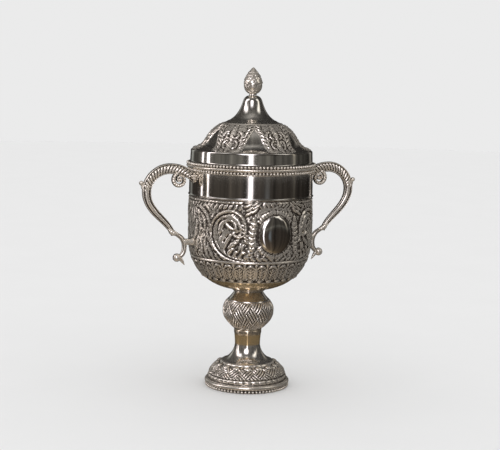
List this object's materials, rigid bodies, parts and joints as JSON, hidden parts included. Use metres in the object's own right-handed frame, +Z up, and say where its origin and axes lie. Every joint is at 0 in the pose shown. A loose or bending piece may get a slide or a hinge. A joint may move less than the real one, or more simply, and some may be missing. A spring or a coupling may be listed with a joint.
{
  "type": "covered cup",
  "caption": "Tall covered presentation cup in chased silver plate, with scroll handles, oval cartouches, a knopped stem on a domed foot, and a lift-off domed lid with a bud finial.",
  "frame": {"origin": "centre of the underside of the foot, on the surface the cup stands on", "axes": "+Z up along the cup's axis; the handles lie along X; a cartouche faces -Y, with another facing +Y"},
  "size_m": [0.2358, 0.1296, 0.3192],
  "materials": {
    "chased_silver": "silver plate over brass, chased relief with matted and darkened grounds between polished bands",
    "cast_silver": "cast and silver plated, bright edges with dark recesses",
    "polished_silver": "silver plate over brass, mirror polished plain bands and points with chased petals"
  },
  "bodies": {
    "root": {"foot": "chased_silver", "knop": "chased_silver", "bowl": "chased_silver", "handle_left": "cast_silver", "handle_right": "cast_silver", "lid": "polished_silver", "finial": "cast_silver"}
  },
  "joints": []
}
